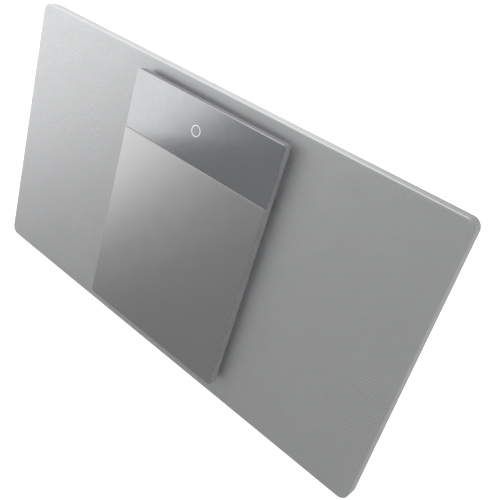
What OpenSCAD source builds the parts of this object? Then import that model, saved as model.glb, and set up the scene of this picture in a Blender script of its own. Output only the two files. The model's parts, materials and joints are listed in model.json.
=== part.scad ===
// Slim one-piece compact-disc hi-fi: a wide flat speaker panel with a motor-driven
// sliding cover over its disc bay, a shallow rear cabinet and a low foot.
//
// X runs along the panel, Z is up and the front faces -Y. The origin is on the
// table, under the middle of the whole set. Inside the file most parts are drawn
// in panel coordinates: x from the panel's middle, y from its front plane going
// back, z from its bottom edge. place() puts them on the table.

/* [Panel] */
// Width of the front panel
panel_w = 400; // [360:1:440]
// Height of the front panel
panel_h = 218; // [214:1:240]
// Depth of the panel's rim
panel_t = 10; // [10:0.5:12]
// Radius of the panel's corners
panel_r = 7; // [6:0.5:10]
// Wall of the rim
rim_wall = 2.5; // [2:0.5:3]

/* [Sliding cover] */
// Width of the cover
cover_w = 142; // [142:1:144]
// Height of the cover
cover_h = 194.5; // [194.5:0.5:196]
// Thickness of the cover
cover_t = 6.5; // [6:0.1:7]
// How far the cover's face stands in front of the panel
cover_stand = 11; // [11:0.1:12]
// Sideways offset of the cover's middle
cover_dx = 3; // [2.5:0.5:3.5]
// Height of the cover's bottom edge above the panel's
cover_z = 14.5; // [14:0.5:15]
// Height of the dark window at the top of the cover
window_h = 45.5; // [44:0.5:46]

/* [Disc bay] */
// Radius of the round disc recess
recess_r = 61; // [60.5:0.5:61]
// Sideways place of the disc's axis
disc_x = -2.5; // [-3:0.5:-2]
// Height of the disc's axis above the panel's bottom
disc_z = 89.5; // [89.5:0.5:90]

/* [Speakers] */
// Distance of each speaker from the panel's middle
woofer_x = 132; // [130:1:132]
// Height of the speakers' axes above the panel's bottom
woofer_z = 109; // [105:1:112]
// Radius of the speaker openings
woofer_r = 35; // [34:0.5:36]

/* [Cabinet and foot] */
// Width of the rear cabinet
cab_w = 352; // [352:1:358]
// Height of the rear cabinet
cab_h = 182; // [178:1:184]
// Depth of the set behind the panel's front plane, at the cabinet
cab_back = 76; // [76:1:80]
// Wall of the rear cabinet
cab_wall = 2.4; // [2:0.1:2.6]
// Depth of the set behind the panel's front plane, at the foot
foot_back = 96; // [94:1:98]

/* [Keys] */
// Distance between the keys on top of the cabinet
key_pitch = 20; // [19:0.5:22]

/* [Hidden] */
$fn = 64;
eps = 0.1;

foot_z = -5;
front_y = (cover_stand - foot_back) / 2;
cover_x0 = cover_dx - cover_w / 2;
cover_x1 = cover_dx + cover_w / 2;
cover_z1 = cover_z + cover_h;
window_z = cover_z1 - window_h;
cover_front = -cover_stand;
cover_back = cover_front + cover_t;

sheet_t = 0.8;
cloth_t = 0.4;
baffle_y = 6;

bay_x0 = cover_x0 + 2;
bay_x1 = cover_x1 - 4;
bay_z0 = cover_z + 4;
bay_z1 = cover_z1 - 4;
bay_front = cover_back + 0.3;
bay_wall = 2;
bay_solid_z = 149.5;
floor_y = 6;
floor_t = 2;
flange_z1 = 184;
lcd_floor = 5.4;

rail_h = 8.5;
rail_z = [19.2, 159.4];
rail_floor = 0.8;
steel = 0.6;

pinion_m = 1;
pinion_teeth = 10;
pinion_rp = pinion_m * pinion_teeth / 2;
pinion_x = 63;
pinion_z = 148.5;
pinion_y = bay_front + 0.1;
pinion_t = 2.2;
rack_add = 0.55;
rack_ded = 1.25;
rack_pitch_z = pinion_z + pinion_rp;
rack_x0 = cover_x0 + 2.5;
rack_x1 = cover_x1 - 5;
shaft_r = 1.5;
run = 0.06;

cab_z0 = 8;
cab_z1 = cab_z0 + cab_h;
cab_r = 16;
cab_in = cab_back - cab_wall;
boss_xz = [for (x = [-1, 1], z = [22, 176]) [x * (cab_w / 2 - 13), z]];

chassis_y = 18;
chassis_t = 1.5;
rod_r = 1.5;
guide_y = 13;
rod_dz = 13;
screw_z = disc_z - 22;
sled_x = disc_x + 26;

magnet_y = 38;
key_z = cab_z1 + 1.2;
key_xs = [for (i = [-2.5:1:2.5]) i * key_pitch];
key_y = 30;
inlet_x = -90;
inlet_z = 30;
antenna_x = 70;
aux_x = 96;
socket_z = 32;
port_z = 40;
bracket_dx = 100;
bracket_z = 150;
board_posts = [for (x = [20, 108], z = [24, 90]) [x, z]];
base_screws = [for (x = [-70, 70]) [x, 44]];

// ---------------------------------------------------------------- helpers

// Panel coordinates to the set's own frame.
module place() { translate([0, front_y, -foot_z]) children(); }

// A box between two corners.
module block(a, b) { translate(a) cube(b - a); }

// Flat rectangle with round corners, centred.
module round_rect(w, h, r) {
    square([w - 2 * r, h], center = true);
    square([w, h - 2 * r], center = true);
    for (x = [-1, 1], z = [-1, 1])
        translate([x * (w / 2 - r), z * (h / 2 - r)]) circle(r);
}

// Upright plate from y0 to y1, centred on x = cx and z = cz.
module plate(w, h, r, y0, y1, cx = 0, cz = panel_h / 2) {
    translate([cx, y1, cz]) rotate([90, 0, 0]) linear_extrude(y1 - y0) round_rect(w, h, r);
}

// Cylinder along Y from y0 to y1.
module rod_y(r, y0, y1, x = 0, z = 0) {
    translate([x, y0, z]) rotate([-90, 0, 0]) cylinder(r = r, h = y1 - y0);
}

// Cylinder along X from x0 to x1.
module rod_x(r, x0, x1, y = 0, z = 0) {
    translate([x0, y, z]) rotate([0, 90, 0]) cylinder(r = r, h = x1 - x0);
}

// Turned part about a Y axis; its profile is [radius, y] points.
module turned(points, x = 0, z = 0) {
    translate([x, 0, z]) rotate([-90, 0, 0]) rotate_extrude() polygon(points);
}

// ---------------------------------------------------------------- front panel

module front_frame() {
    color("silver") place() difference() {
        plate(panel_w, panel_h, panel_r, sheet_t, panel_t);
        plate(panel_w - 4.4 * rim_wall, panel_h - 4.4 * rim_wall, 3, 0, baffle_y + eps);
        plate(panel_w - 2 * rim_wall, panel_h - 2 * rim_wall, panel_r - rim_wall, baffle_y,
            panel_t + eps);
    }
}

// Opening that the disc bay comes through.
module bay_opening(y0, y1, c = 0.4) {
    block([bay_x0 - c, y0, bay_z0 - c], [bay_x1 + c, y1, bay_z1 + c]);
}

module speaker_grille() {
    color("lightgray") place() difference() {
        plate(panel_w, panel_h, panel_r, 0, sheet_t);
        bay_opening(-1, 2);
    }
}

module grille_cloth() {
    y0 = sheet_t;
    color("dimgray") place() difference() {
        plate(panel_w - 4.4 * rim_wall - 0.4, panel_h - 4.4 * rim_wall - 0.4, 2.8, y0, y0 + cloth_t);
        bay_opening(0, 3, 0.8);
    }
}

module baffle_board() {
    color([0.16, 0.16, 0.17]) place() difference() {
        plate(panel_w - 2 * rim_wall - 0.2, panel_h - 2 * rim_wall - 0.2, panel_r - rim_wall - 0.1,
            baffle_y, panel_t);
        bay_opening(baffle_y - 1, panel_t + 1);
        for (s = [-1, 1]) {
            rod_y(woofer_r, baffle_y - 1, panel_t + 1, s * woofer_x, woofer_z);
            woofer_screw_places(s) rod_y(1.45, baffle_y - 1, panel_t + 1);
        }
        for (p = boss_xz) rod_y(1.6, baffle_y + 1, panel_t + 1, p[0], p[1]);
    }
}

// ---------------------------------------------------------------- cabinet and foot

// Louvre slots in the rear wall.
module vents() {
    for (x = [-60:12:60], z = [104:6:128])
        block([x - 4.5, cab_in - 1, z], [x + 4.5, cab_back + 1, z + 2.4]);
}

module rear_cabinet() {
    w = cab_w - 2 * cab_wall;
    mid = (cab_z0 + cab_z1) / 2;
    color([0.2, 0.2, 0.21]) place() difference() {
        union() {
            difference() {
                union() {
                    plate(cab_w, cab_h, cab_r, panel_t, cab_back - 5, 0, mid);
                    plate(cab_w - 8, cab_h - 8, cab_r - 4, cab_back - 6, cab_back, 0, mid);
                }
                plate(w, cab_h - 2 * cab_wall, cab_r - cab_wall, panel_t - 1, cab_back - 6, 0, mid);
                plate(w - 8, cab_h - 8 - 2 * cab_wall, cab_r - 6, cab_back - 7, cab_in, 0, mid);
            }
            for (p = boss_xz) rod_y(4, panel_t, cab_in + eps, p[0], p[1]);
            for (s = [-1, 1]) {
                rod_y(5, cab_in - 8, cab_in + eps, s * bracket_dx, bracket_z);
                for (p = board_posts) rod_y(3, 61.6, cab_in + eps, s * p[0], p[1]);
                translate([s * 67, key_y, cab_z1 - 10.4]) cylinder(r = 2.2, h = 10);
            }
        }
        for (p = boss_xz) {
            rod_y(1.6, panel_t - 1, cab_back + 1, p[0], p[1]);
            rod_y(3.4, cab_back - 2.6, cab_back + 1, p[0], p[1]);
        }
        for (s = [-1, 1]) {
            rod_y(2.2, cab_in - 9, cab_back + 1, s * bracket_dx, bracket_z);
            rod_y(13.2, cab_in - 1, cab_back + 1, s * woofer_x, port_z);
        }
        for (x = key_xs) key_shape(x, 0.4, cab_z1 - 6, cab_z1 + 1);
        vents();
        for (p = base_screws) translate([p[0], p[1], cab_z0 - 1]) cylinder(r = 1.6, h = 6);
        block([inlet_x - 12.2, cab_in - 1, inlet_z - 8.2], [inlet_x + 12.2, cab_back + 1, inlet_z + 8.2]);
        rod_y(5.2, cab_in - 1, cab_back + 1, antenna_x, socket_z);
        rod_y(4.2, cab_in - 1, cab_back + 1, aux_x, socket_z);
    }
}

module stand_base() {
    d = foot_back - 14;
    color([0.2, 0.2, 0.21]) place() difference() {
        union() {
            translate([0, 14 + d / 2, -3]) linear_extrude(4) round_rect(236, d, 14);
            translate([0, 14 + d / 2, 1]) linear_extrude(1.5) round_rect(232, d - 4, 12);
            block([-96, 18, 1], [96, 72, cab_z0]);
        }
        for (x = [-1, 1], y = [26, 84]) translate([x * 96, y, -4]) cylinder(r = 7.1, h = 2);
        for (p = base_screws) translate([p[0], p[1], -4]) {
            cylinder(r = 3.4, h = 3.4);
            cylinder(r = 1.6, h = 14);
        }
    }
}

module rubber_feet() {
    color([0.1, 0.1, 0.1]) place()
        for (x = [-1, 1], y = [26, 84]) translate([x * 96, y, foot_z]) {
            cylinder(r = 6.4, h = 1);
            translate([0, 0, 1]) cylinder(r = 7, h = 2);
        }
}

// ---------------------------------------------------------------- disc bay and its rails

module bay_body() {
    bs = floor_y + floor_t;
    difference() {
        union() {
            difference() {
                block([bay_x0, bay_front, bay_z0], [bay_x1, panel_t, bay_z1]);
                block([bay_x0 + bay_wall, bay_front + bay_wall, bay_z0 + bay_wall],
                    [bay_x1 - bay_wall, panel_t + 1, bay_solid_z]);
            }
            block([bay_x0, bay_front, bay_z0], [bay_x1, rail_floor + 1.6, rail_z[0] + rail_h + 1]);
            block([pinion_x - 11, bay_front, pinion_z - 9], [bay_x1, 1.5, bay_solid_z + 1]);
            block([bay_x0, bay_front, disc_z + 28], [disc_x - 30, bs, bay_solid_z + 1]);
            block([disc_x + 30, bay_front, bay_z0], [bay_x1, bs, disc_z - 28]);
            block([bay_x0, bay_front, bay_z0], [disc_x - 30, bs, disc_z - 28]);
            intersection() {
                rod_y(recess_r + 2, bay_front, bs, disc_x, disc_z);
                block([bay_x0, bay_front, bay_z0], [bay_x1, bs, bay_z1]);
            }
            difference() {
                block([bay_x0 - 6, panel_t, bay_z0 - 6], [bay_x1 + 6, panel_t + 2, flange_z1]);
                block([bay_x0 + bay_wall, panel_t - 1, bay_z0 + bay_wall],
                    [bay_x1 - bay_wall, panel_t + 3, bay_solid_z]);
            }
        }
        rod_y(recess_r, bay_front - 1, floor_y, disc_x, disc_z);
        rod_y(17, floor_y - 1, bs + 1, disc_x, disc_z);
        block([disc_x + 15, floor_y - 1, disc_z - 9], [disc_x + 60.2, bs + 1, disc_z + 9]);
        for (z = rail_z) block([bay_x0 + 2, bay_front - 1, z], [bay_x1 + 1, rail_floor, z + rail_h]);
        block([bay_x0 - 1, bay_front - 1, rack_pitch_z - 1.5], [bay_x1 + 1, -1.2, rack_pitch_z + 4.9]);
        rod_y(pinion_rp + 1.5, bay_front - 1, -1.2, pinion_x, pinion_z);
        rod_y(shaft_r + 0.3, -2, panel_t + 3, pinion_x, pinion_z);
        block([pinion_x - 13.5, floor_y - 0.2, pinion_z - 8], [bay_x1 - 2, panel_t + 3, pinion_z + 8]);
        block([pinion_x - 35, floor_y - 0.2, pinion_z - 8], [pinion_x - 13, panel_t + 3, pinion_z + 8]);
        block([-58, bay_front - 1, 169.5], [62, lcd_floor, 202.5]);
        block([15, lcd_floor - 1, 175.4], [31, panel_t + 3, 177]);
    }
}

module disc_bay() {
    color([0.22, 0.22, 0.23]) place() {
        bay_body();
        for (x = [-54, 58], z = [173, 199]) rod_y(2, 2.6, lcd_floor + 1, x, z);
    }
}

module slide_rails() {
    color([0.62, 0.63, 0.65]) place() for (z = rail_z) difference() {
        block([bay_x0 + 2, -3.9, z], [bay_x1, rail_floor, z + rail_h]);
        block([bay_x0 + 1, -4, z + steel], [bay_x1 + 1, rail_floor - steel, z + rail_h - steel]);
    }
}

// Middle member of each slide: a channel with turned-in lips.
module slide_carriage() {
    color([0.68, 0.69, 0.71]) place() for (z = rail_z) {
        z0 = z + steel + 0.35;
        z1 = z + rail_h - steel - 0.35;
        difference() {
            block([bay_x0 + 2.5, -4.1, z0], [bay_x1 - 0.5, -0.3, z1]);
            block([bay_x0 + 2, -3.6, z0 + steel], [bay_x1, -0.3 - steel, z1 - steel]);
            block([bay_x0 + 2, -4.2, z0 + 1.7], [bay_x1, -3.5, z1 - 1.7]);
        }
    }
}

// ---------------------------------------------------------------- sliding cover

module cover_panel() {
    c = [(cover_x0 + cover_x1) / 2, (cover_z + cover_z1) / 2];
    color([0.72, 0.73, 0.74]) place() difference() {
        plate(cover_w, cover_h, 2.5, cover_front, cover_back, c[0], c[1]);
        plate(cover_w - 3.2, cover_h - 3.2, 1.5, cover_front + 2, cover_back + 1, c[0], c[1]);
        block([cover_x0 + 0.7, cover_front - 1, window_z],
            [cover_x1 - 0.7, cover_front + 1.2, cover_z1 - 0.7]);
        block([cover_x0 + 4, cover_front, window_z + 3], [cover_x1 - 4, cover_front + 3, cover_z1 - 4]);
    }
}

module window_ring_shape(y0, y1) {
    translate([0, 0, window_z + 24.5]) difference() {
        rod_y(4.2, y0, y1);
        rod_y(3.6, y0 - 1, y1 + 1);
    }
}

module display_window() {
    color([0.25, 0.26, 0.28]) place() difference() {
        block([cover_x0 + 0.7, cover_front, window_z], [cover_x1 - 0.7, cover_front + 1.2, cover_z1 - 0.7]);
        window_ring_shape(cover_front - 1, cover_front + 0.2);
    }
}

module window_ring() {
    color("white") place() window_ring_shape(cover_front, cover_front + 0.2);
}

module cover_back_plate() {
    y0 = cover_back - 1.4;
    c = [(cover_x0 + cover_x1) / 2, (cover_z + cover_z1) / 2];
    color([0.3, 0.3, 0.31]) place() difference() {
        plate(cover_w - 3.4, cover_h - 3.4, 1.4, y0, cover_back, c[0], c[1]);
        block([-56, y0 - 1, 172], [60, cover_back + 1, 200]);
    }
}

module cover_runners() {
    color([0.75, 0.76, 0.78]) place() for (z = rail_z) {
        m = z + rail_h / 2;
        block([cover_x0 + 5, cover_back, m - 0.9], [cover_x1 - 5, -3.2, m + 0.9]);
        block([cover_x0 + 5, -3.2, m - 2.2], [cover_x1 - 5, -1.5, m + 2.2]);
    }
}

// Straight rack; its teeth point down, with a tooth space over the pinion's axis.
module cover_rack() {
    p = PI * pinion_m;
    half = p / 4 - 0.12;
    tip = half - rack_add * tan(20);
    root = half + rack_ded * tan(20);
    first = ceil((rack_x0 - pinion_x + p) / p);
    last = floor((rack_x1 - pinion_x - p) / p);
    color([0.85, 0.85, 0.83]) place() translate([0, pinion_y + pinion_t, 0]) rotate([90, 0, 0])
        linear_extrude(pinion_t + pinion_y - cover_back) {
            translate([rack_x0, rack_pitch_z + rack_ded])
                square([rack_x1 - rack_x0, 3.2]);
            for (i = [first:last]) translate([pinion_x + (i + 0.5) * p, rack_pitch_z])
                polygon([[-tip, -rack_add], [tip, -rack_add], [root, rack_ded + 0.01],
                    [-root, rack_ded + 0.01]]);
        }
}

// ---------------------------------------------------------------- cover drive

function involute(rb, a) = [rb * (cos(a) + a * PI / 180 * sin(a)), rb * (sin(a) - a * PI / 180 * cos(a))];
function turn(p, a) = [p[0] * cos(a) - p[1] * sin(a), p[0] * sin(a) + p[1] * cos(a)];

// One involute tooth pointing along +X.
module gear_tooth(m, n, backlash) {
    rp = m * n / 2;
    rb = rp * cos(20);
    ra = rp + m;
    rr = rp - 1.2 * m;
    inv20 = tan(20) * 180 / PI - 20;
    half = 90 / n - backlash / (2 * rp) * 180 / PI + inv20;
    a_tip = sqrt(pow(ra / rb, 2) - 1) * 180 / PI;
    flank = [for (i = [0:6]) turn(involute(rb, a_tip * i / 6), -half)];
    other = [for (i = [6:-1:0]) [flank[i][0], -flank[i][1]]];
    polygon(concat([turn([rr, 0], -half)], flank, other, [turn([rr, 0], half)]));
}

module drive_pinion() {
    color([0.9, 0.9, 0.88]) place() translate([pinion_x, 0, pinion_z]) {
        translate([0, pinion_y + pinion_t, 0]) rotate([90, 0, 0]) linear_extrude(pinion_t) {
            circle(pinion_rp - 1.15 * pinion_m);
            for (i = [0:pinion_teeth - 1]) rotate(90 + i * 360 / pinion_teeth)
                gear_tooth(pinion_m, pinion_teeth, 0.12);
        }
        rod_y(shaft_r, pinion_y + pinion_t, 17);
    }
}

module door_motor() {
    color([0.5, 0.5, 0.52]) place() difference() {
        union() {
            block([pinion_x - 13, floor_y - 0.2, pinion_z - 7.5], [bay_x1 - 2.4, 19, pinion_z + 7.5]);
            rod_x(6.5, pinion_x - 34, pinion_x - 13, 12.8, pinion_z);
        }
        rod_y(shaft_r + run, 5, 17.4, pinion_x, pinion_z);
    }
}

// ---------------------------------------------------------------- display

module lcd_panel() {
    color([0.12, 0.13, 0.14]) place() block([-52, -3.4, 175], [56, 1, 198]);
}

module display_board() {
    color([0.1, 0.35, 0.2]) place() block([-57.6, 1, 170], [61.6, 2.6, 202]);
}

// ---------------------------------------------------------------- disc mechanism

module damper_places() {
    for (p = [[-42, 59.5], [-42, 118.5], [46, 59.5], [46, 118.5]])
        translate([p[0], 0, p[1]]) children();
}

module cd_chassis() {
    color([0.7, 0.71, 0.72]) place() difference() {
        union() {
            block([-48, chassis_y, 54], [66, chassis_y + chassis_t, 124]);
            for (x = [11, 62.5], s = [-1, 1])
                block([x, guide_y - 3, disc_z + s * rod_dz - 2.6],
                    [x + 2.6, chassis_y + eps, disc_z + s * rod_dz + 2.6]);
            block([62.5, guide_y - 3, screw_z - 2.6], [65.1, chassis_y + eps, screw_z + 2.6]);
        }
        for (s = [-1, 1]) rod_x(rod_r, 10, 67, guide_y, disc_z + s * rod_dz);
        rod_x(rod_r + run, 61, 67, guide_y, screw_z);
        block([16, chassis_y - 0.4, screw_z + 4], [61, chassis_y + 3, disc_z + 9]);
        damper_places() rod_y(1.4, chassis_y - 1, chassis_y + 3);
    }
}

module chassis_dampers() {
    color([0.1, 0.1, 0.1]) place() damper_places() {
        rod_y(3.5, floor_y + floor_t, chassis_y);
        rod_y(1.35, chassis_y, chassis_y + 2.2);
    }
}

module spindle_motor() {
    color([0.75, 0.76, 0.77]) place() difference() {
        rod_y(12, 9, chassis_y, disc_x, disc_z);
        rod_y(1 + run, 8, chassis_y - 1, disc_x, disc_z);
    }
}

module spindle_shaft() {
    color([0.8, 0.81, 0.82]) place() rod_y(1, 2, chassis_y - 1.5, disc_x, disc_z);
}

module turntable() {
    color([0.15, 0.15, 0.16]) place() difference() {
        turned([[0, -1.6], [5.6, -1.6], [7.3, -0.4], [7.3, 1], [15, 1], [15, 3.4], [5, 3.4],
                [5, 8], [0, 8]],
            disc_x, disc_z);
        rod_y(1, 2, 9, disc_x, disc_z);
        for (a = [90:120:330]) translate([disc_x, 0, disc_z]) rotate([0, a, 0])
            rod_x(1.05, 5.2, 7.6, -0.1, 0);
    }
}

module clamp_balls() {
    color([0.85, 0.86, 0.87]) place() translate([disc_x, 0, disc_z])
        for (a = [90:120:330]) rotate([0, a, 0]) translate([6.7, -0.1, 0]) sphere(1);
}

module guide_rods() {
    color([0.8, 0.81, 0.82]) place()
        for (s = [-1, 1]) rod_x(rod_r, 11, 65.1, guide_y, disc_z + s * rod_dz);
}

module optical_sled() {
    color([0.2, 0.2, 0.21]) place() difference() {
        union() {
            block([sled_x - 3.8, 4.6, disc_z - 7], [sled_x + 3.8, 10, disc_z + 7]);
            block([sled_x - 8, 9, disc_z - rod_dz - 3.4], [sled_x + 8, 16.6, disc_z + rod_dz + 3.4]);
            block([sled_x - 4, 9.8, screw_z - 3], [sled_x + 4, 16, disc_z - rod_dz]);
        }
        for (s = [-1, 1]) rod_x(rod_r + run, sled_x - 9, sled_x + 9, guide_y, disc_z + s * rod_dz);
        rod_x(1.5 + run, sled_x - 9, sled_x + 9, guide_y, screw_z);
        rod_y(2.4, 4, 7, sled_x, disc_z);
    }
}

module focus_lens() {
    color([0.5, 0.6, 0.9]) place() turned([[0, 3.4], [1.2, 3.5], [2, 3.9], [2.4, 4.6], [2.4, 7], [0, 7]],
        sled_x, disc_z);
}

module feed_screw() {
    color([0.8, 0.81, 0.82]) place() difference() {
        rod_x(1.5, 3, 65.1, guide_y, screw_z);
        for (x = [12:1.5:60]) translate([x, guide_y, screw_z]) rotate([0, 90, 0]) rotate_extrude()
            translate([1.3, 0]) square([0.4, 0.5]);
    }
}

module sled_motor() {
    color([0.75, 0.76, 0.77]) place() difference() {
        union() {
            rod_x(4.4, -12, 9, guide_y, screw_z);
            block([-12, guide_y, screw_z - 4], [-9, chassis_y, screw_z + 4]);
        }
        rod_x(1.5 + run, 2.5, 10, guide_y, screw_z);
    }
}

// ---------------------------------------------------------------- speakers

module woofer_screw_places(s) {
    for (a = [45:90:315]) translate([s * woofer_x, 0, woofer_z]) rotate([0, a, 0])
        translate([37.6, 0, 0]) children();
}

module woofer_frame(s) {
    y = panel_t;
    color([0.15, 0.15, 0.16]) place() difference() {
        turned([[29.5, y], [40.5, y], [40.5, y + 2], [35, y + 2], [22, magnet_y], [13, magnet_y],
            [13, magnet_y - 1.5], [20.8, magnet_y - 1.5], [33, y + 3], [33, y + 1.2], [29.5, y + 1.2]],
            s * woofer_x, woofer_z);
        for (a = [0:60:300]) translate([s * woofer_x, 0, woofer_z]) rotate([0, a, 0])
            block([10, y + 6, -7], [40, magnet_y - 6, 7]);
        woofer_screw_places(s) rod_y(1.5, y - 1, y + 3);
    }
}
module woofer_frame_left() { woofer_frame(-1); }
module woofer_frame_right() { woofer_frame(1); }

module woofer_magnet(s) {
    y = magnet_y;
    color([0.35, 0.35, 0.37]) place() turned([[0, y - 3], [9, y - 3], [9, y + 11], [11.6, y + 11],
        [11.6, y], [20, y], [20, y + 3], [24, y + 3], [24, y + 11], [22, y + 14], [0, y + 14]],
        s * woofer_x, woofer_z);
}
module woofer_magnet_left() { woofer_magnet(-1); }
module woofer_magnet_right() { woofer_magnet(1); }

// Half-roll rubber ring from the frame's lip to the cone's edge.
module woofer_surround(s) {
    y = panel_t;
    color([0.12, 0.12, 0.12]) place() translate([s * woofer_x, 0, woofer_z]) rotate([-90, 0, 0])
        rotate_extrude() translate([30, y]) difference() {
            circle(2.6);
            circle(2);
            translate([-3, 0]) square([6, 3]);
        }
}
module woofer_surround_left() { woofer_surround(-1); }
module woofer_surround_right() { woofer_surround(1); }

// Paper cone with its dust cap and voice coil former.
module woofer_cone(s) {
    y = panel_t;
    color([0.2, 0.2, 0.2]) place() turned([[0, 18], [4, 18.4], [8, 20], [10, 22.4], [26.8, y - 0.6],
        [26.8, y + 0.2], [10.5, 24], [10.5, magnet_y + 6], [9.9, magnet_y + 6], [9.9, 23.4], [7.6, 20.9],
        [4, 19.2], [0, 18.8]], s * woofer_x, woofer_z);
}
module woofer_cone_left() { woofer_cone(-1); }
module woofer_cone_right() { woofer_cone(1); }

// Flared tube from the enclosure's back wall inwards.
module bass_port(s) {
    color([0.17, 0.17, 0.18]) place() turned([[11, 46], [12.6, 46], [12.6, cab_in - 2], [14.6, cab_in - 2],
        [14.6, cab_in], [13, cab_in], [13, cab_back], [12.4, cab_back], [11, cab_back - 3]],
        s * woofer_x, port_z);
}
module bass_port_left() { bass_port(-1); }
module bass_port_right() { bass_port(1); }

// ---------------------------------------------------------------- electronics

module main_board() {
    color([0.1, 0.35, 0.2]) place() difference() {
        block([14, 60, 18], [152, 61.6, 96]);
        rod_y(13.4, 59, 63, woofer_x, port_z);
    }
}

module power_board() {
    color([0.1, 0.35, 0.2]) place() difference() {
        block([-152, 60, 18], [-14, 61.6, 96]);
        rod_y(13.4, 59, 63, -woofer_x, port_z);
    }
}

module power_transformer() {
    color([0.75, 0.6, 0.3]) place() {
        block([-88, 36, 40], [-56, 42, 72]);
        block([-88, 54, 40], [-56, 60, 72]);
        block([-88, 42, 40], [-56, 54, 46]);
        block([-88, 42, 66], [-56, 54, 72]);
        block([-84, 42, 46], [-60, 54, 66]);
    }
}

module filter_capacitors() {
    color([0.15, 0.2, 0.35]) place() for (p = [[-40, 30, 8], [-40, 50, 8], [-24, 30, 6], [-24, 48, 6]])
        rod_y(p[2] - 0.2, 60 - p[2] * 3, 60, p[0], p[1]);
}

module heat_sink() {
    color([0.6, 0.61, 0.63]) place() {
        block([26, 57, 52], [76, 60, 90]);
        for (z = [52:4.5:88.5]) block([26, 38, z], [76, 57.1, z + 1.4]);
    }
}

module tuner_shield() {
    color([0.78, 0.79, 0.8]) place() difference() {
        block([84, 50, 62], [116, 60, 86]);
        block([84.5, 50.5, 62.5], [115.5, 61, 85.5]);
    }
}

module key_board() {
    color([0.1, 0.35, 0.2]) place() {
        block([key_xs[0] - 22, key_y - 7, cab_z1 - 12], [key_xs[5] + 22, key_y + 7, cab_z1 - 10.4]);
        for (x = key_xs) {
            block([x - 3, key_y - 3, cab_z1 - 10.5], [x + 3, key_y + 3, cab_z1 - 7.2]);
            translate([x, key_y, cab_z1 - 7.3]) cylinder(r = 1.6, h = 1.1);
        }
    }
}

module ribbon_cable() {
    color([0.9, 0.9, 0.88]) place() {
        block([16, 2.6, 176], [30, 57.4, 176.4]);
        block([16, 57, 94], [30, 57.4, 176.4]);
        block([14.5, 57, 92], [31.5, 60, 96]);
    }
}

// ---------------------------------------------------------------- sockets

module ac_inlet() {
    color([0.08, 0.08, 0.08]) place() {
        difference() {
            union() {
                block([inlet_x - 12, cab_in - 11.4, inlet_z - 8], [inlet_x + 12, cab_in, inlet_z + 8]);
                block([inlet_x - 12, cab_in, inlet_z - 8], [inlet_x + 12, cab_back, inlet_z + 8]);
            }
            for (s = [-1, 1]) rod_y(4.4, cab_in - 8, cab_back + 1, inlet_x + s * 4.3, inlet_z);
            block([inlet_x - 4.3, cab_in - 8, inlet_z - 3.2], [inlet_x + 4.3, cab_back + 1, inlet_z + 3.2]);
        }
        for (s = [-1, 1]) rod_y(1.2, cab_in - 8.1, cab_back - 2, inlet_x + s * 4.3, inlet_z);
    }
}

module antenna_socket() {
    color([0.8, 0.8, 0.78]) place() {
        turned([[1.6, cab_in - 10], [5, cab_in - 10], [5, cab_back + 0.5], [4.8, cab_back + 7],
            [4.1, cab_back + 7], [4.1, cab_in - 6], [1.6, cab_in - 6]], antenna_x, socket_z);
        turned([[0, cab_in - 9], [1.6, cab_in - 9], [1.6, cab_in - 7], [1.15, cab_in - 5],
            [1.15, cab_back + 5], [0, cab_back + 6]], antenna_x, socket_z);
    }
}

module aux_jack() {
    color([0.1, 0.1, 0.1]) place() difference() {
        union() {
            rod_y(4, cab_in - 1, cab_back + 0.6, aux_x, socket_z);
            block([aux_x - 6, cab_in - 12, socket_z - 5], [aux_x + 6, cab_in - 0.9, socket_z + 5]);
        }
        rod_y(1.8, cab_in - 10.6, cab_back + 1, aux_x, socket_z);
    }
}

// ---------------------------------------------------------------- fasteners

module case_screws() {
    color([0.3, 0.3, 0.32]) place() for (p = boss_xz) difference() {
        union() {
            rod_y(3, cab_back - 2.5, cab_back - 0.7, p[0], p[1]);
            rod_y(1.5, panel_t - 2, cab_back - 2.4, p[0], p[1]);
        }
        for (a = [0, 90]) translate([p[0], cab_back - 1.9, p[1]]) rotate([0, a, 0])
            block([-1.8, 0, -0.4], [1.8, 2, 0.4]);
    }
    color([0.3, 0.3, 0.32]) place() for (p = base_screws) translate([p[0], p[1], -2.6]) {
        cylinder(r = 3, h = 2);
        cylinder(r = 1.5, h = 15);
    }
}

module woofer_screws() {
    color([0.5, 0.5, 0.52]) place() for (s = [-1, 1]) woofer_screw_places(s) {
        rod_y(1.4, baffle_y + 0.5, panel_t + 2.1);
        rod_y(2.6, panel_t + 2, panel_t + 3.6);
    }
}

// ---------------------------------------------------------------- keys

module key_shape(x, c, z0, z1) {
    translate([x, key_y, z0]) linear_extrude(z1 - z0) round_rect(16 + 2 * c, 9 + 2 * c, 2 + c);
}

module key(i) {
    color([0.3, 0.3, 0.31]) place() {
        key_shape(key_xs[i], 0, cab_z1 - 5, key_z);
        key_shape(key_xs[i], 1.2, cab_z1 - 5.2, cab_z1 - cab_wall - 0.4);
    }
}
module key_power() { key(0); }
module key_source() { key(1); }
module key_volume_down() { key(2); }
module key_volume_up() { key(3); }
module key_play() { key(4); }
module key_open() { key(5); }

// ---------------------------------------------------------------- the set

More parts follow.
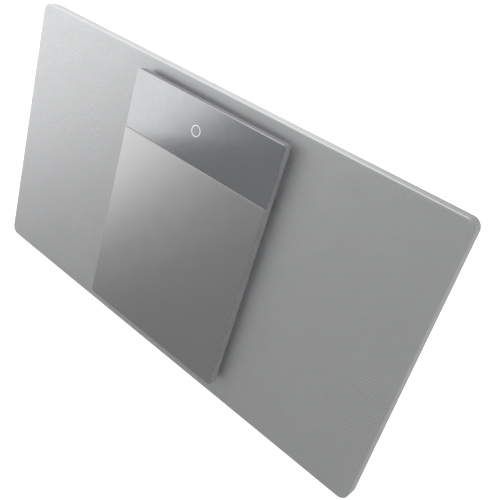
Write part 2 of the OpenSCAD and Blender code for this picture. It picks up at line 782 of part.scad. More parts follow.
front_frame();
speaker_grille();
grille_cloth();
baffle_board();
rear_cabinet();
stand_base();
rubber_feet();
disc_bay();
slide_rails();
lcd_panel();
display_board();
cd_chassis();
chassis_dampers();
spindle_motor();
guide_rods();
sled_motor();
door_motor();
main_board();
power_board();
power_transformer();
filter_capacitors();
heat_sink();
tuner_shield();
key_board();
ac_inlet();
antenna_socket();
aux_jack();
ribbon_cable();
woofer_frame_left();
woofer_frame_right();
woofer_magnet_left();
woofer_magnet_right();
woofer_surround_left();
woofer_surround_right();
woofer_cone_left();
woofer_cone_right();
bass_port_left();
bass_port_right();
case_screws();
woofer_screws();
cover_panel();
display_window();
cover_back_plate();
cover_runners();
cover_rack();
window_ring();
slide_carriage();
drive_pinion();
turntable();
spindle_shaft();
clamp_balls();
optical_sled();
focus_lens();
feed_screw();
key_power();
key_source();
key_volume_down();
key_volume_up();
key_play();
key_open();
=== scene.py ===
"""Looks of a slim one-piece disc hi-fi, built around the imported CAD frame.

The panel's perforated sheet, rim, cloth, sliding cover and key marks are modelled here.
Everything else keeps its CAD shape, most of it with soft edges, and has a material of its own.
"""
import json
import math

import bpy
from mathutils import Matrix, Vector


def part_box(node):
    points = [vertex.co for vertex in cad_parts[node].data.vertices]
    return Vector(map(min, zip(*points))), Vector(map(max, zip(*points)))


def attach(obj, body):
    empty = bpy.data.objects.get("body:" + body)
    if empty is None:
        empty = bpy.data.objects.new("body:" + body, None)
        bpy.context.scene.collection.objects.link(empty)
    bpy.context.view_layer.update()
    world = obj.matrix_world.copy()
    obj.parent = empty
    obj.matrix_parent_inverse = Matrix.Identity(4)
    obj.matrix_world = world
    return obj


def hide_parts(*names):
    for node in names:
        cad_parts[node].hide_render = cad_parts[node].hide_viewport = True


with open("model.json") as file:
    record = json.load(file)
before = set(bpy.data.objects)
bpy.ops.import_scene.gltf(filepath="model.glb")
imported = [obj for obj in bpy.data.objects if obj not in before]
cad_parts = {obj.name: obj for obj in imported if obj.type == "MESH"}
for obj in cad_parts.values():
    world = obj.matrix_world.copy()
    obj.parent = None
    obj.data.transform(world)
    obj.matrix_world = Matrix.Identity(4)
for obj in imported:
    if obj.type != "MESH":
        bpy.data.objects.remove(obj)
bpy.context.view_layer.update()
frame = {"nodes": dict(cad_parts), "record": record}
MM = 0.001
MAP_RANGE = ("From Min", "From Max", "To Min", "To Max")


# ---------------------------------------------------------------- materials

class Shade:
    """A Principled material with a few short ways to drive it by noise in object space."""

    def __init__(self, name, color, metallic=0.0, roughness=0.5, **sockets):
        self.material = bpy.data.materials.new(name)
        self.material.use_nodes = True
        self.tree = self.material.node_tree
        self.bsdf = self.tree.nodes["Principled BSDF"]
        self.bsdf.inputs["Base Color"].default_value = (*color, 1.0)
        self.bsdf.inputs["Metallic"].default_value = metallic
        self.bsdf.inputs["Roughness"].default_value = roughness
        for socket, value in sockets.items():
            self.bsdf.inputs[socket.replace("_", " ")].default_value = value
        self.color = color
        self.height = None

    def node(self, kind, **values):
        n = self.tree.nodes.new(kind)
        for key, value in values.items():
            setattr(n, key, value)
        return n

    def link(self, a, b):
        self.tree.links.new(a, b)

    def place(self, stretch=(1, 1, 1)):
        coord = self.node("ShaderNodeTexCoord")
        mapping = self.node("ShaderNodeMapping")
        mapping.inputs["Scale"].default_value = stretch
        self.link(coord.outputs["Object"], mapping.inputs["Vector"])
        return mapping.outputs["Vector"]

    def noise(self, scale, detail=3.0, stretch=(1, 1, 1), rough=0.5):
        n = self.node("ShaderNodeTexNoise")
        n.inputs["Scale"].default_value = scale
        n.inputs["Detail"].default_value = detail
        n.inputs["Roughness"].default_value = rough
        self.link(self.place(stretch), n.inputs["Vector"])
        return n.outputs["Fac"]

    def cells(self, scale, stretch=(1, 1, 1), feature="F1"):
        n = self.node("ShaderNodeTexVoronoi", feature=feature)
        n.inputs["Scale"].default_value = scale
        self.link(self.place(stretch), n.inputs["Vector"])
        return n.outputs["Distance"]

    def waves(self, pitch, direction="X", distortion=0.0):
        """Bands whose ridges and valleys are each about one pitch wide."""
        n = self.node("ShaderNodeTexWave", bands_direction=direction)
        n.inputs["Scale"].default_value = 1 / pitch / 6.28
        n.inputs["Distortion"].default_value = distortion
        self.link(self.place(), n.inputs["Vector"])
        return n.outputs["Fac"]

    def span(self, value, low, high, at=(0.3, 0.7)):
        n = self.node("ShaderNodeMapRange")
        for key, v in zip(MAP_RANGE, (*at, low, high)):
            n.inputs[key].default_value = v
        self.link(value, n.inputs["Value"])
        return n.outputs["Result"]

    def tint(self, value, dark, light, at=(0.3, 0.7)):
        """Base colour between two brightnesses of the material's own colour."""
        ramp = self.node("ShaderNodeValToRGB")
        for stop, place, gain in zip(ramp.color_ramp.elements, at, (dark, light)):
            stop.position = place
            stop.color = (*[min(1.0, c * gain) for c in self.color], 1.0)
        self.link(value, ramp.inputs["Fac"])
        self.link(ramp.outputs["Color"], self.bsdf.inputs["Base Color"])
        return self

    def rough(self, value, low, high, at=(0.3, 0.7)):
        self.link(self.span(value, low, high, at), self.bsdf.inputs["Roughness"])
        return self

    def bump(self, value, depth, strength=1.0):
        """A bump of that depth in metres; a second call lies on top of the first."""
        n = self.node("ShaderNodeBump")
        n.inputs["Strength"].default_value = strength
        n.inputs["Distance"].default_value = depth
        self.link(value, n.inputs["Height"])
        if self.height:
            self.link(self.height, n.inputs["Normal"])
        self.height = n.outputs["Normal"]
        self.link(self.height, self.bsdf.inputs["Normal"])
        return self


def satin_paint(name, color, flake=0.05, roughness=(0.34, 0.42), metallic=0.65):
    """Silver paint: fine metal flake, a slow drift of tone and faint orange peel."""
    s = Shade(name, color, metallic=metallic, roughness=0.4, Coat_Weight=0.08, Coat_Roughness=0.25)
    s.tint(s.noise(5200, 2), 1 - flake, 1 + flake)
    s.rough(s.noise(90, 4), *roughness)
    s.bump(s.noise(900, 2), 0.006 * MM, 0.5)
    return s.material


def moulded(name, color, grain=0.035, roughness=(0.48, 0.62), scale=1500):
    """Spark-eroded moulded plastic."""
    s = Shade(name, color, roughness=0.55, IOR=1.48)
    s.tint(s.noise(60, 4), 0.9, 1.1)
    s.rough(s.noise(scale * 0.5, 3), *roughness)
    s.bump(s.noise(scale, 3, rough=0.6), grain * MM, 0.7)
    return s.material


def bay_moulding_painted_shade():
    """The disc bay's grey moulding, with painted shade: near black on the face that shows behind the
    panel.
    """
    s = Shade("bay_moulding_painted_shade", (0.25, 0.252, 0.258), roughness=0.5, IOR=1.48)
    painted_shade_edge = (-33.2 * MM, -32.8 * MM)
    place = s.node("ShaderNodeSeparateXYZ")
    s.link(s.place(), place.inputs["Vector"])
    # Painted shade: from this depth back the grey turns near black, where the bay lies behind the panel.
    s.tint(s.span(place.outputs["Y"], 0, 1, painted_shade_edge), 1.0, 0.18, (0.0, 1.0))
    s.rough(s.noise(900, 3), 0.45, 0.55)
    s.bump(s.noise(1800, 3, rough=0.6), 0.02 * MM, 0.7)
    return s.material


def smoked_glass():
    """Polished smoked plastic over a dark half-mirror film."""
    s = Shade("smoked_window", (0.50, 0.508, 0.52), metallic=0.92, roughness=0.2)
    s.tint(s.noise(40, 3), 0.98, 1.02)
    s.rough(s.noise(220, 3), 0.18, 0.22)
    return s.material


def woven(name, color, pitch=0.5 * MM):
    """Plain-weave acoustic cloth: over and under threads from two crossed waves."""
    s = Shade(name, color, roughness=0.9, Sheen_Weight=0.3, Sheen_Roughness=0.5)
    across, up = s.waves(pitch, "X"), s.waves(pitch, "Z")
    both = s.node("ShaderNodeMath", operation="MULTIPLY")
    s.link(across, both.inputs[0])
    s.link(up, both.inputs[1])
    s.tint(both.outputs[0], 0.55, 1.5, (0.05, 0.8))
    s.bump(both.outputs[0], 0.08 * MM, 0.8)
    return s.material


def rubber(name="rubber"):
    s = Shade(name, (0.025, 0.025, 0.026), roughness=0.8, IOR=1.5)
    s.tint(s.noise(300, 4), 0.8, 1.25)
    s.rough(s.noise(700, 3), 0.7, 0.9)
    s.bump(s.noise(2500, 3), 0.03 * MM, 0.6)
    return s.material


def plated(name, color, roughness=(0.25, 0.4), spangle=260):
    """Zinc or tin plated sheet: large dull spangles under fine rolling marks."""
    s = Shade(name, color, metallic=1.0, roughness=0.35)
    s.tint(s.cells(spangle), 0.86, 1.06, (0.1, 0.9))
    s.rough(s.noise(900, 3, (1, 1, 12)), *roughness)
    s.bump(s.noise(1400, 2, (1, 1, 20)), 0.01 * MM, 0.4)
    return s.material


def ground_steel(name="ground_steel", color=(0.66, 0.66, 0.67)):
    s = Shade(name, color, metallic=1.0, roughness=0.2)
    s.tint(s.noise(1800, 2, (1, 8, 8)), 0.92, 1.05)
    s.rough(s.noise(1200, 3, (1, 14, 14)), 0.14, 0.28)
    return s.material


def screw_black():
    s = Shade("screw_black", (0.05, 0.05, 0.053), metallic=0.7, roughness=0.4)
    s.tint(s.noise(1500, 3), 0.7, 1.4)
    s.rough(s.noise(900, 3), 0.3, 0.5)
    return s.material


def solder_mask(name, color):
    """Circuit board: buried copper tracks under a glossy mask."""
    s = Shade(name, color, roughness=0.3, Coat_Weight=0.4, Coat_Roughness=0.2)
    tracks = s.cells(420, feature="DISTANCE_TO_EDGE")
    s.tint(tracks, 0.8, 1.6, (0.02, 0.1))
    s.bump(s.span(tracks, 1, 0, (0.02, 0.08)), 0.03 * MM, 0.6)
    return s.material


def display_glass():
    s = Shade("display_glass", (0.02, 0.022, 0.026), roughness=0.1, Coat_Weight=1.0, Coat_Roughness=0.04)
    s.tint(s.waves(0.6 * MM, "X"), 0.8, 1.3)
    s.rough(s.noise(300, 2), 0.08, 0.14)
    return s.material


def nylon():
    s = Shade("nylon", (0.70, 0.69, 0.64), roughness=0.45, Subsurface_Weight=0.15, Subsurface_Scale=0.002)
    s.tint(s.noise(200, 4), 0.94, 1.05)
    s.rough(s.noise(700, 3), 0.38, 0.52)
    s.bump(s.noise(1600, 2), 0.01 * MM, 0.5)
    return s.material


def paper_pulp():
    s = Shade("paper_pulp", (0.035, 0.034, 0.034), roughness=0.9, Sheen_Weight=0.2)
    s.tint(s.noise(900, 6, rough=0.7), 0.6, 1.7)
    s.bump(s.noise(1100, 6, rough=0.7), 0.12 * MM, 0.8)
    return s.material


def ferrite():
    s = Shade("ferrite", (0.06, 0.06, 0.065), metallic=0.3, roughness=0.6)
    s.tint(s.noise(800, 5), 0.7, 1.4)
    s.rough(s.noise(500, 3), 0.45, 0.7)
    s.bump(s.noise(1200, 4), 0.04 * MM, 0.6)
    return s.material


def winding_tape():
    s = Shade("winding_tape", (0.55, 0.36, 0.06), roughness=0.4, Coat_Weight=0.3)
    s.tint(s.waves(2 * MM, "Z", 0.4), 0.8, 1.1)
    s.rough(s.noise(400, 3), 0.3, 0.5)
    return s.material


def shrink_sleeve():
    s = Shade("shrink_sleeve", (0.02, 0.03, 0.09), roughness=0.3, Coat_Weight=0.4)
    s.tint(s.noise(120, 3), 0.8, 1.3)
    s.bump(s.noise(260, 3, (1, 0.2, 1)), 0.03 * MM, 0.4)
    return s.material


def stained_board():
    """Black stained fibre board behind the cloth."""
    s = Shade("stained_board", (0.03, 0.027, 0.025), roughness=0.8)
    s.tint(s.noise(1200, 6, (1, 1, 0.3), 0.7), 0.6, 1.8)
    s.bump(s.noise(1400, 5), 0.05 * MM, 0.6)
    return s.material


def flat_cable():
    """Flat flexible cable: pale film with its conductors showing as lines."""
    s = Shade("flat_cable", (0.74, 0.74, 0.70), roughness=0.3, Coat_Weight=0.3)
    s.tint(s.waves(1 * MM, "X"), 0.78, 1.05)
    s.rough(s.noise(300, 2), 0.25, 0.35)
    return s.material


def lens_glass():
    s = Shade("lens_glass", (0.5, 0.56, 0.8), roughness=0.04, Coat_Weight=1.0, IOR=1.6,
              Transmission_Weight=0.4)
    s.tint(s.noise(500, 2), 0.9, 1.1)
    return s.material


def printed_mark():
    s = Shade("printed_mark", (0.80, 0.81, 0.82), roughness=0.5)
    s.tint(s.noise(3000, 2), 0.95, 1.04)
    return s.material


# Slot in the record -> its material here.
FINISHES = {
    "painted_silver": satin_paint("painted_silver", (0.52, 0.525, 0.53), metallic=0.35),
    "perforated_sheet": satin_paint("perforated_sheet", (0.74, 0.745, 0.755), 0.05, (0.36, 0.42), 0.84),
    "cover_satin": satin_paint("cover_satin", (0.62, 0.62, 0.625), 0.03, (0.30, 0.34), 0.95),
    "grey_moulding": moulded("grey_moulding", (0.25, 0.252, 0.258), 0.02, (0.45, 0.55), 1800),
    "smoked_window": smoked_glass(),
    "mark_print": printed_mark(),
    "black_cloth": woven("black_cloth", (0.06, 0.06, 0.063)),
    "dark_moulding": moulded("dark_moulding", (0.045, 0.046, 0.05)),
    "black_board": stained_board(),
    "rubber": rubber(),
    "zinc_steel": plated("zinc_steel", (0.60, 0.61, 0.62)),
    "polished_rod": ground_steel(),
    "black_screw": screw_black(),
    "circuit_board": solder_mask("green_mask", (0.018, 0.13, 0.055)),
    "display_glass": display_glass(),
    "nylon": nylon(),
    "paper_cone": paper_pulp(),
    "ferrite": ferrite(),
    "ferrite_core": winding_tape(),
    "capacitor_sleeve": shrink_sleeve(),
    "black_anodised": moulded("black_anodised", (0.05, 0.05, 0.054), 0.01, (0.35, 0.45), 2600),
    "tinned_steel": plated("tinned_steel", (0.70, 0.71, 0.71), (0.2, 0.32), 180),
    "socket_plastic": moulded("socket_plastic", (0.02, 0.02, 0.021), 0.02, (0.4, 0.5), 1800),
    "nickel": ground_steel("nickel", (0.70, 0.68, 0.62)),
    "lens_glass": lens_glass(),
    "cable_film": flat_cable(),
    "key_plastic": moulded("key_plastic", (0.085, 0.087, 0.092), 0.012, (0.28, 0.36), 2200),
}


# ---------------------------------------------------------------- mesh helpers

def dress(obj, body, slot):
    """Gives a piece the finish of its slot and the body that it rides on."""
    obj.data.materials.clear()
    obj.data.materials.append(FINISHES[slot])
    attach(obj, body)
    return obj


def piece(name, verts, faces, body, slot, sharp=35):
    """A new mesh piece, smooth except across edges that turn more than sharp degrees."""
    mesh = bpy.data.meshes.new(name)
    mesh.from_pydata(verts, [], faces)
    mesh.update()
    mesh.shade_smooth()
    mesh.set_sharp_from_angle(angle=math.radians(sharp))
    obj = bpy.data.objects.new(name, mesh)
    bpy.context.scene.collection.objects.link(obj)
    return dress(obj, body, slot)


def soften(obj, width, segments=2, angle=35):
    """Welds split corners and rounds the edges, with flat faces kept flat."""
    weld = obj.modifiers.new("weld", "WELD")
    weld.merge_threshold = 1e-6
    bevel = obj.modifiers.new("bevel", "BEVEL")
    bevel.width = width
    bevel.segments = segments
    bevel.limit_method = "ANGLE"
    bevel.angle_limit = math.radians(angle)
    bevel.harden_normals = True
    bevel.use_clamp_overlap = True
    return obj


def outline(x0, x1, z0, z1, radii, inset=0.0, steps=10):
    """Counter-clockwise round-cornered rectangle from its top right; equal counts at any inset."""
    points = []
    places = ((x1, z1, -1, -1), (x0, z1, 1, -1), (x0, z0, 1, 1), (x1, z0, -1, 1))
    for k, ((x, z, sx, sz), r) in enumerate(zip(places, radii)):
        arc = max(r - inset, 0.01 * MM)
        cx, cz = x + sx * (inset + arc), z + sz * (inset + arc)
        for i in range(steps + 1):
            a = math.radians(90 * (k + i / steps))
            points.append((cx + arc * math.cos(a), cz + arc * math.sin(a)))
    return points


def fillet(cx, cy, r, start, end, steps=4):
    """Arc points of a profile between two angles in degrees."""
    angles = [math.radians(start + (end - start) * i / steps) for i in range(steps + 1)]
    return [(cx + r * math.cos(a), cy + r * math.sin(a)) for a in angles]


def swept(name, profile, edges, radii, body, slot, closed=False, cap=False):
    """A profile of (inset, y) points carried round a round-cornered rectangle."""
    loops = [outline(*edges, radii, inset) for inset, _ in profile]
    n = len(loops[0])
    verts = [(x, y, z) for (_, y), loop in zip(profile, loops) for x, z in loop]
    faces = []
    rows = len(profile)
    for j in range(rows if closed else rows - 1):
        a, b = j * n, (j + 1) % rows * n
        faces.extend((a + i, a + (i + 1) % n, b + (i + 1) % n, b + i) for i in range(n))
    if cap:
        faces.append(tuple(range(n))[::-1])
        faces.append(tuple(range((rows - 1) * n, rows * n)))
    return piece(name, verts, faces, body, slot)


# ---------------------------------------------------------------- front panel

sheet_lo, sheet_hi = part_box("speaker_grille")
frame_lo, frame_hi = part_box("front_frame")
cover_lo, cover_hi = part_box("cover_panel")
window_lo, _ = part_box("display_window")
PANEL = (sheet_lo.x, sheet_hi.x, sheet_lo.z, sheet_hi.z)
CORNER_R = 7 * MM
# The disc bay's opening in the sheet, behind the closed cover: x from, x to, z from, z to.
BAY = (cover_lo.x + 1.6 * MM, cover_hi.x - 3.6 * MM, cover_lo.z + 3.6 * MM, cover_hi.z - 3.6 * MM)


def rim():
    """The panel's rim behind the sheet: one section with a rounded back edge."""
    front, back = frame_lo.y, frame_hi.y
    chamfer, soft, wall, ledge = 0.25 * MM, 0.6 * MM, 2.5 * MM, 5.5 * MM
    board = back - 4 * MM
    profile = [(chamfer, front), (0, front + chamfer)]
    profile += fillet(soft, back - soft, soft, 180, 90)
    profile += [(wall, back), (wall, board), (ledge, board), (ledge, front)]
    obj = swept("panel_rim", profile, PANEL, [CORNER_R] * 4, "cabinet", "painted_silver", closed=True)
    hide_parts("front_frame")


def clipped(square, hull):
    """The part of a convex polygon inside another convex polygon; both run counter-clockwise."""
    out = square
    for (ax, az), (bx, bz) in zip(hull, hull[1:] + hull[:1]):
        side = [(bx - ax) * (z - az) - (bz - az) * (x - ax) for x, z in out]
        kept = []
        for k, (p, d) in enumerate(zip(out, side)):
            q, e = out[k - 1], side[k - 1]
            if (d >= 0) != (e >= 0):
                t = e / (e - d)
                kept.append((q[0] + t * (p[0] - q[0]), q[1] + t * (p[1] - q[1])))
            if d >= 0:
                kept.append(p)
        out = kept
        if len(out) < 3:
            return []
    return out


def outside_bay(x0, x1, z0, z1):
    """The rectangles of a cell that the disc bay's opening leaves."""
    bx0, bx1, bz0, bz1 = BAY
    a, b = max(x0, bx0), min(x1, bx1)
    rects = [(x0, min(x1, bx0), z0, z1), (max(x0, bx1), x1, z0, z1)]
    rects += [(a, b, z0, min(z1, bz0)), (a, b, max(z0, bz1), z1)]
    return [r for r in rects if r[1] - r[0] > 1e-7 and r[3] - r[2] > 1e-7]


def grille():
    """The perforated front sheet: a fine square grid of punched holes, in strips side by side."""
    x_lo, x_hi, z_lo, z_hi = PANEL
    border, pitch, radius, sides = 1.2 * MM, 1.2 * MM, 0.22 * MM, 8
    strip_columns, corner_cells = 37, 6
    front, back = sheet_lo.y, sheet_hi.y
    hull = outline(*PANEL, [CORNER_R] * 4, border)
    columns = round((x_hi - x_lo - 2 * border) / pitch)
    rows = round((z_hi - z_lo - 2 * border) / pitch)
    dx, dz = (x_hi - x_lo - 2 * border) / columns, (z_hi - z_lo - 2 * border) / rows
    ring = [(radius * math.cos(a), radius * math.sin(a))
            for a in (math.radians(225 + 360 / sides * k) for k in range(sides))]
    corners = [(-dx / 2, -dz / 2), (dx / 2, -dz / 2), (dx / 2, dz / 2), (-dx / 2, dz / 2)]
    cell = [(x, front, z) for x, z in corners + ring] + [(x, back, z) for x, z in ring]
    rear = 4 + sides
    web = [(k, (k + 1) % 4, 4 + (2 * k + 2) % sides, 4 + 2 * k + 1, 4 + 2 * k) for k in range(4)]
    wall = [(4 + k, 4 + (k + 1) % sides, rear + (k + 1) % sides, rear + k) for k in range(sides)]
    strips = {}
    for i in range(columns):
        x0 = x_lo + border + i * dx
        if x0 + dx <= cover_lo.x + 2 * MM:
            strip = "left_" + "abc"[min(2, i // strip_columns)]
        elif x0 >= cover_hi.x - 4 * MM:
            strip = "right_" + "abc"[min(2, (columns - 1 - i) // strip_columns)]
        else:
            strip = "middle"
        verts, faces = strips.setdefault(strip, ([], []))
        for j in range(rows):
            z0 = z_lo + border + j * dz
            square = [(x0, z0), (x0 + dx, z0), (x0 + dx, z0 + dz), (x0, z0 + dz)]
            from_side, from_end = min(i, columns - 1 - i), min(j, rows - 1 - j)
            in_bay = x0 + dx > BAY[0] and x0 < BAY[1] and z0 + dz > BAY[2] and z0 < BAY[3]
            if in_bay:
                plain = [[(a, c), (b, c), (b, d), (a, d)]
                         for a, b, c, d in outside_bay(x0, x0 + dx, z0, z0 + dz)]
            elif from_side == 0 or from_side < corner_cells and from_end < corner_cells:
                inside = clipped(square, hull)
                whole = len(inside) == 4 and abs(inside[0][0] - square[0][0]) < 1e-9
                plain = None if whole and len(set(inside) & set(square)) == 4 else [inside]
            else:
                plain = None
            n = len(verts)
            if plain is None:
                cx, cz = x0 + dx / 2, z0 + dz / 2
                verts.extend((x + cx, y, z + cz) for x, y, z in cell)
                faces.extend(tuple(n + k for k in f) for f in web + wall)
                continue
            for polygon in plain:
                if len(polygon) > 2:
                    n = len(verts)
                    verts.extend((x, front, z) for x, z in polygon)
                    faces.append(tuple(range(n, n + len(polygon))))
    for strip, (verts, faces) in strips.items():
        obj = piece("grille_" + strip, verts, faces, "cabinet", "perforated_sheet", sharp=50)
        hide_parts("speaker_grille")
    soft = 0.35 * MM
    chamfer = 0.1 * MM
    profile = [(border, back), (chamfer, back), (0, back - chamfer)]
    profile += fillet(soft, front + soft, soft, 180, 270) + [(border, front)]
    swept("grille_edge", profile, PANEL, [CORNER_R] * 4, "cabinet", "perforated_sheet")


def cloth():
    """Acoustic cloth stretched behind the sheet, with the slight waves of its glued edge."""
    lo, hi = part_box("grille_cloth")
    nx, nz, overlap = 120, 64, 2 * MM
    verts, faces = [], []
    for j in range(nz + 1):
        for i in range(nx + 1):
            x, z = lo.x + (hi.x - lo.x) * i / nx, lo.z + (hi.z - lo.z) * j / nz
            sag = math.sin(x * 90) * math.sin(z * 70) + math.sin(x * 37 + z * 53)
            verts.append((x, (lo.y + hi.y) / 2 + 0.06 * MM * sag, z))
    for j in range(nz):
        for i in range(nx):
            x, z = lo.x + (hi.x - lo.x) * (i + 0.5) / nx, lo.z + (hi.z - lo.z) * (j + 0.5) / nz
            if not (BAY[0] - overlap < x < BAY[1] + overlap and BAY[2] - overlap < z < BAY[3] + overlap):
                a = j * (nx + 1) + i
                faces.append((a, a + 1, a + nx + 2, a + nx + 1))
    used = sorted({k for f in faces for k in f})
    new = {k: n for n, k in enumerate(used)}
    faces = [tuple(new[k] for k in f) for f in faces]
    obj = piece("acoustic_cloth", [verts[k] for k in used], faces, "cabinet", "black_cloth", sharp=80)
    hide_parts("grille_cloth")


# ---------------------------------------------------------------- sliding cover

def cover():
    """The cover: a grey moulded tray behind a satin plate and a smoked window."""
    front, back, face = cover_lo.y, cover_hi.y, cover_lo.y + 1.2 * MM
    edges = (cover_lo.x, cover_hi.x, cover_lo.z, cover_hi.z)
    wall, soft, chamfer = 1.6 * MM, 0.3 * MM, 0.15 * MM
    profile = [(wall, back), (soft, back), (0, back - soft), (0, face + chamfer)]
    profile += [(chamfer, face), (wall, face)]
    tray = swept("cover_tray", profile, edges, [2.5 * MM] * 4, "sliding_cover", "grey_moulding",
                 closed=True)
    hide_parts("cover_panel")
    seam = window_lo.z
    inset, gap, sunk = 0.12 * MM, 0.05 * MM, 0.05 * MM
    lower = (edges[0] + inset, edges[1] - inset, edges[2] + inset, seam - gap)
    upper = (edges[0] + inset, edges[1] - inset, seam + gap, edges[3] - inset)
    profile = [(soft, face), (0, face - soft * 0.4)] + fillet(soft, front + soft, soft, 180, 270)
    profile = [(i, y + sunk) for i, y in profile]
    big, small = 2.4 * MM, 0.35 * MM
    swept("cover_plate", profile, lower, [small, small, big, big], "sliding_cover", "cover_satin",
          cap=True)
    window = swept("window_glass", profile, upper, [big, big, small, small], "sliding_cover",
                   "smoked_window", cap=True)
    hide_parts("display_window")


# ---------------------------------------------------------------- key marks

def arc_band(outer, inner, start, end, steps=20):
    """A ring sector as one polygon, in millimetres and degrees."""
    angles = [math.radians(start + (end - start) * i / steps) for i in range(steps + 1)]
    points = [(outer * math.cos(a), outer * math.sin(a)) for a in angles]
    return points + [(inner * math.cos(a), inner * math.sin(a)) for a in reversed(angles)]


def bar(x0, y0, x1, y1):
    return [(x0, y0), (x1, y0), (x1, y1), (x0, y1)]


# Polygons of each key's sign, in millimetres from the key's middle.
KEY_MARKS = {
    "key_power": [arc_band(1.9, 1.45, 125, 415), bar(-0.22, 0.5, 0.22, 2.3)],
    "key_source": [bar(-2.2, 0.9, 1.2, 1.35), [(1.2, 0.4), (2.3, 1.12), (1.2, 1.85)],
                   bar(-1.2, -1.35, 2.2, -0.9), [(-1.2, -1.85), (-1.2, -0.4), (-2.3, -1.12)]],
    "key_volume_down": [bar(-1.8, -0.24, 1.8, 0.24)],
    "key_volume_up": [bar(-1.8, -0.24, 1.8, 0.24), bar(-0.24, 0.24, 0.24, 1.8),
                      bar(-0.24, -1.8, 0.24, -0.24)],
    "key_play": [[(-1.3, -1.7), (1.9, 0), (-1.3, 1.7)]],
    "key_open": [[(-1.9, -0.3), (1.9, -0.3), (0, 1.8)], bar(-1.9, -1.5, 1.9, -0.95)],
}


def key_mark(key, polygons):
    """The generic sign on one key, as thin raised print."""
    lo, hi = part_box(key)
    cx, cy, foot, top = (lo.x + hi.x) / 2, (lo.y + hi.y) / 2, hi.z - 0.03 * MM, hi.z + 0.08 * MM
    verts, faces = [], []
    for polygon in polygons:
        n, count = len(verts), len(polygon)
        for z in (foot, top):
            verts.extend((cx + x * MM, cy + y * MM, z) for x, y in polygon)
        faces.append(tuple(range(n + count, n + 2 * count)))
        faces.extend((n + k, n + (k + 1) % count, n + count + (k + 1) % count, n + count + k)
                     for k in range(count))
    piece(key + "_mark", verts, faces, key, "mark_print")


rim()
grille()
cloth()
cover()
for key, polygons in KEY_MARKS.items():
    key_mark(key, polygons)

# ---------------------------------------------------------------- CAD nodes

# Widths of the bevels in millimetres.
SOFT_EDGES = {
    "rear_cabinet": 0.5, "stand_base": 0.6, "disc_bay": 0.25, "turntable": 0.2, "optical_sled": 0.2,
    "key_power": 0.35, "key_source": 0.35, "key_volume_down": 0.35, "key_volume_up": 0.35,
    "key_play": 0.35, "key_open": 0.35, "ac_inlet": 0.25, "aux_jack": 0.2, "antenna_socket": 0.12,
    "rubber_feet": 0.4, "slide_carriage": 0.08, "slide_rails": 0.08, "cd_chassis": 0.1,
    "door_motor": 0.3, "case_screws": 0.12, "bass_port_left": 0.3, "bass_port_right": 0.3,
}
slots = {s["node"]: s["material_slot"] for s in frame["record"]["subparts"]}
# Nodes whose finish isn't that of their slot.
OWN = {
    "display_board": solder_mask("black_mask", (0.012, 0.013, 0.014)),
    # The disc bay's moulding carries painted shade where it lies behind the panel.
    "disc_bay": bay_moulding_painted_shade(),
    # Painted light: the cover's back plate is pale so that its reflection in the sheet lightens the shade
    # in the gap behind the cover; it faces the panel and doesn't show with the cover open.
    "cover_back_plate": moulded("pale_moulding_painted_light", (0.80, 0.80, 0.80), 0.02, (0.45, 0.55), 1800),
}
for node, obj in frame["nodes"].items():
    obj.data.materials.clear()
    obj.data.materials.append(OWN.get(node, FINISHES[slots[node]]))
    if node in SOFT_EDGES and not obj.hide_render:
        soften(obj, SOFT_EDGES[node] * MM)

# ---------------------------------------------------------------- stage, light and camera

def stage_floor():
    """A plain pale floor."""
    r = 8
    mesh = bpy.data.meshes.new("floor")
    mesh.from_pydata([(-r, -r, 0), (r, -r, 0), (r, r, 0), (-r, r, 0)], [], [(0, 1, 2, 3)])
    floor = bpy.data.objects.new("floor", mesh)
    bpy.context.scene.collection.objects.link(floor)
    pale = Shade("floor", (0.85, 0.85, 0.85), roughness=0.9, Emission_Color=(1, 1, 1, 1),
                 Emission_Strength=0.8)
    mesh.materials.append(pale.material)
    floor.visible_glossy = False


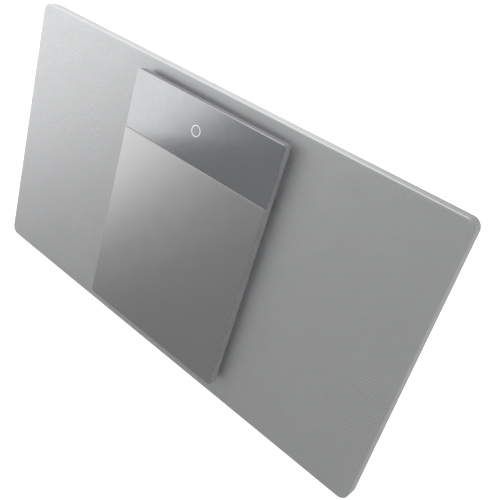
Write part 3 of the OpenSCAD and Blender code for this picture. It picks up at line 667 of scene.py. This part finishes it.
def studio():
    """White to the camera; in reflections a soft bright wall to the left over a dimmer room."""
    wall_way, wall_edge, room, wall, backdrop = (-1.0, 0.0, 0.6), (0.470, 0.582), 0.195, 1.33, 1.05
    world = bpy.data.worlds.new("studio")
    bpy.context.scene.world = world
    world.use_nodes = True
    tree = world.node_tree
    out = tree.nodes["Background"]
    coord = tree.nodes.new("ShaderNodeTexCoord")
    dot = tree.nodes.new("ShaderNodeVectorMath")
    dot.operation = "DOT_PRODUCT"
    dot.inputs[1].default_value = wall_way
    tree.links.new(coord.outputs["Generated"], dot.inputs[0])
    step = tree.nodes.new("ShaderNodeMapRange")
    step.interpolation_type = "SMOOTHSTEP"
    for key, value in zip(MAP_RANGE, (*wall_edge, room, wall)):
        step.inputs[key].default_value = value
    tree.links.new(dot.outputs["Value"], step.inputs["Value"])
    path = tree.nodes.new("ShaderNodeLightPath")
    mix = tree.nodes.new("ShaderNodeMix")
    mix.inputs["B"].default_value = backdrop
    tree.links.new(path.outputs["Is Camera Ray"], mix.inputs["Factor"])
    tree.links.new(step.outputs["Result"], mix.inputs["A"])
    tree.links.new(mix.outputs["Result"], out.inputs["Strength"])
    out.inputs["Color"].default_value = (1, 1, 1, 1)


def area_light(name, at, aim, size, power):
    """A soft light that doesn't show in reflections."""
    data = bpy.data.lights.new(name, "AREA")
    data.size = size
    data.energy = power
    light = bpy.data.objects.new(name, data)
    bpy.context.scene.collection.objects.link(light)
    light.location = at
    light.rotation_euler = (Vector(aim) - Vector(at)).to_track_quat("-Z", "Y").to_euler()
    light.visible_glossy = False


def photo_camera():
    """The camera of the reference view, looking down from the right and rolled clockwise."""
    data = bpy.data.cameras.new("camera")
    data.sensor_width = 36
    data.lens = 48.78
    data.clip_start = 0.01
    camera = bpy.data.objects.new("camera", data)
    bpy.context.scene.collection.objects.link(camera)
    at, aim = Vector((0.2925, -0.4028, 0.3367)), Vector((0.0650, -0.0425, 0.1308))
    turn = (aim - at).to_track_quat("-Z", "Y").to_matrix().to_4x4()
    roll = Matrix.Rotation(math.radians(17.754), 4, "Z")
    camera.matrix_world = Matrix.Translation(at) @ turn @ roll
    bpy.context.scene.camera = camera


stage_floor()
studio()
middle = (0, 0, 0.1)
area_light("fill", (0.3, -1.6, 1.2), middle, 1.6, 6)
area_light("top", (0.7, 0.25, 1.6), middle, 1.2, 5)
area_light("side", (1.7, 0.15, 0.5), middle, 1.0, 5)
photo_camera()
bpy.context.scene.view_settings.view_transform = "Standard"
